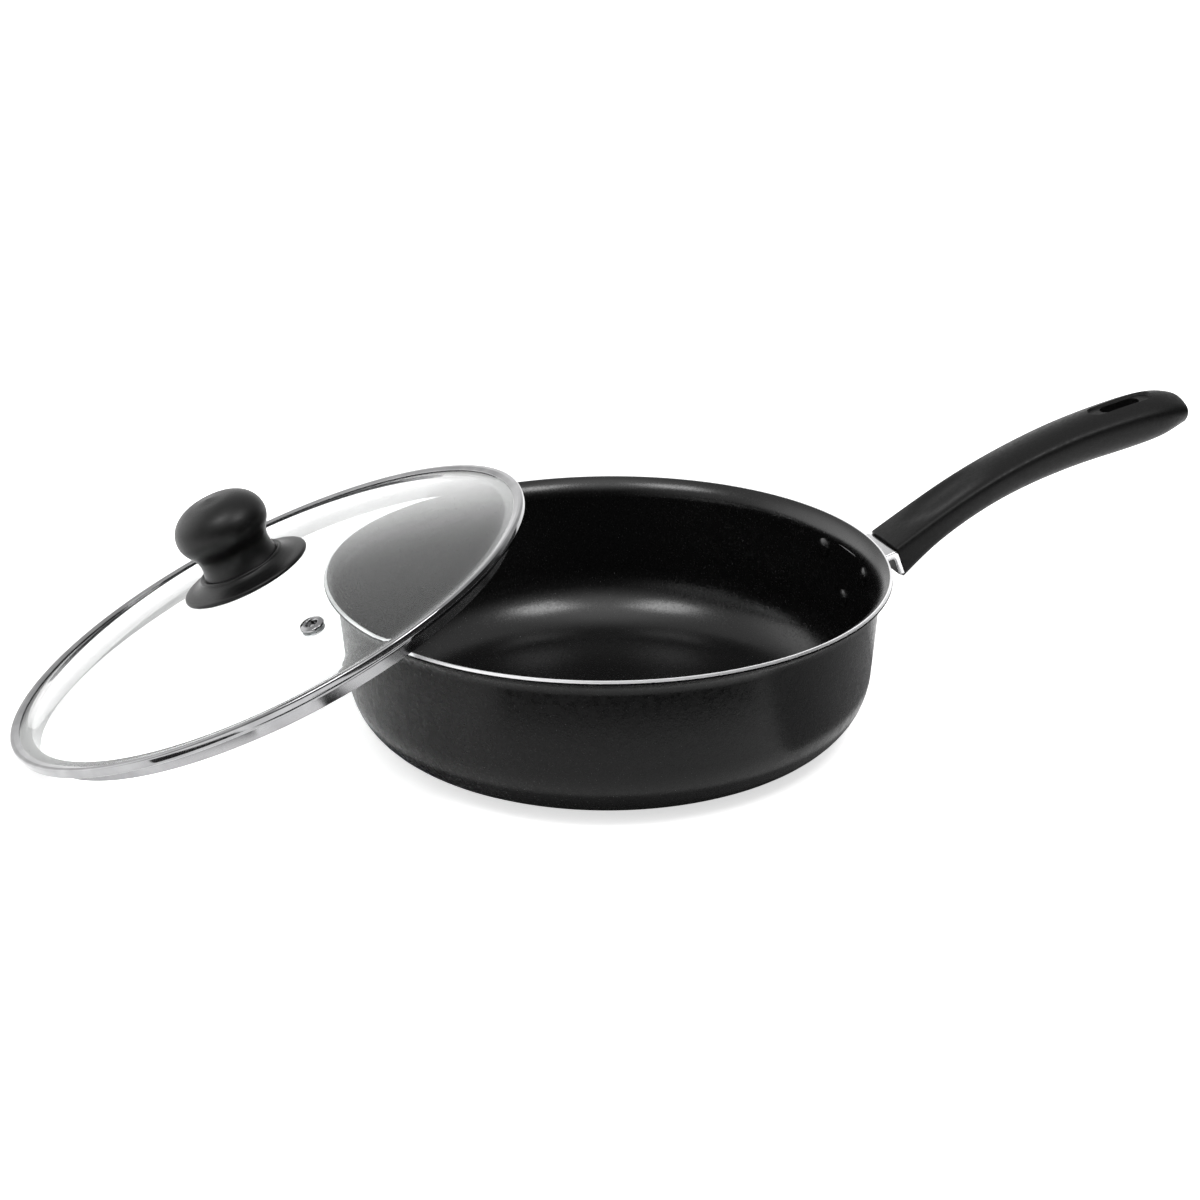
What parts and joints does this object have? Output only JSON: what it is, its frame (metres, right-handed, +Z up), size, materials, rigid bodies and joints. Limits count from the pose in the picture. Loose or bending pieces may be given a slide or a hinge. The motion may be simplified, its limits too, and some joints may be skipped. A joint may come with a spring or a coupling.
{
  "type": "saucepan with glass lid",
  "caption": "Low round saucepan with a long curved handle and a domed glass lid with a knob and steam vent, the lid leaning on the rim.",
  "frame": {"origin": "centre of the pan's flat base, on the surface it stands on", "axes": "+Z up; +X from the pan's centre along the handle"},
  "size_m": [0.5739, 0.3095, 0.1263],
  "materials": {
    "pan_shell": "satin non-stick coating inside, matt speckled paint outside, bare cut edge",
    "bracket_metal": "polished",
    "rivet": "satin, coated inside the pan",
    "grip": "fine moulded texture",
    "fastener_steel": "zinc plated",
    "lid_glass": "clear",
    "lid_band": "polished stainless steel",
    "knob": "satin",
    "brass_insert": "turned",
    "silicone": "translucent white silicone"
  },
  "bodies": {
    "pan": {"pan_shell": "pan_shell", "handle_bracket": "bracket_metal", "rivet_upper_left": "rivet", "rivet_upper_right": "rivet", "rivet_lower": "rivet", "handle_grip": "grip", "handle_screw": "fastener_steel", "handle_washer": "fastener_steel", "handle_nut": "fastener_steel"},
    "lid": {"lid_glass": "lid_glass", "lid_rim_band": "lid_band", "vent_eyelet": "lid_band", "vent_washer": "fastener_steel", "knob_head": "knob", "knob_base": "knob", "knob_insert": "brass_insert", "knob_screw": "fastener_steel", "knob_washer": "fastener_steel", "knob_gasket_lower": "silicone", "knob_gasket_upper": "silicone"}
  },
  "joints": [
    {"name": "lid_lift", "type": "slide", "parent": "pan", "child": "lid", "axis": [0, 0, 1], "range_m": [0, 0.15]}
  ]
}
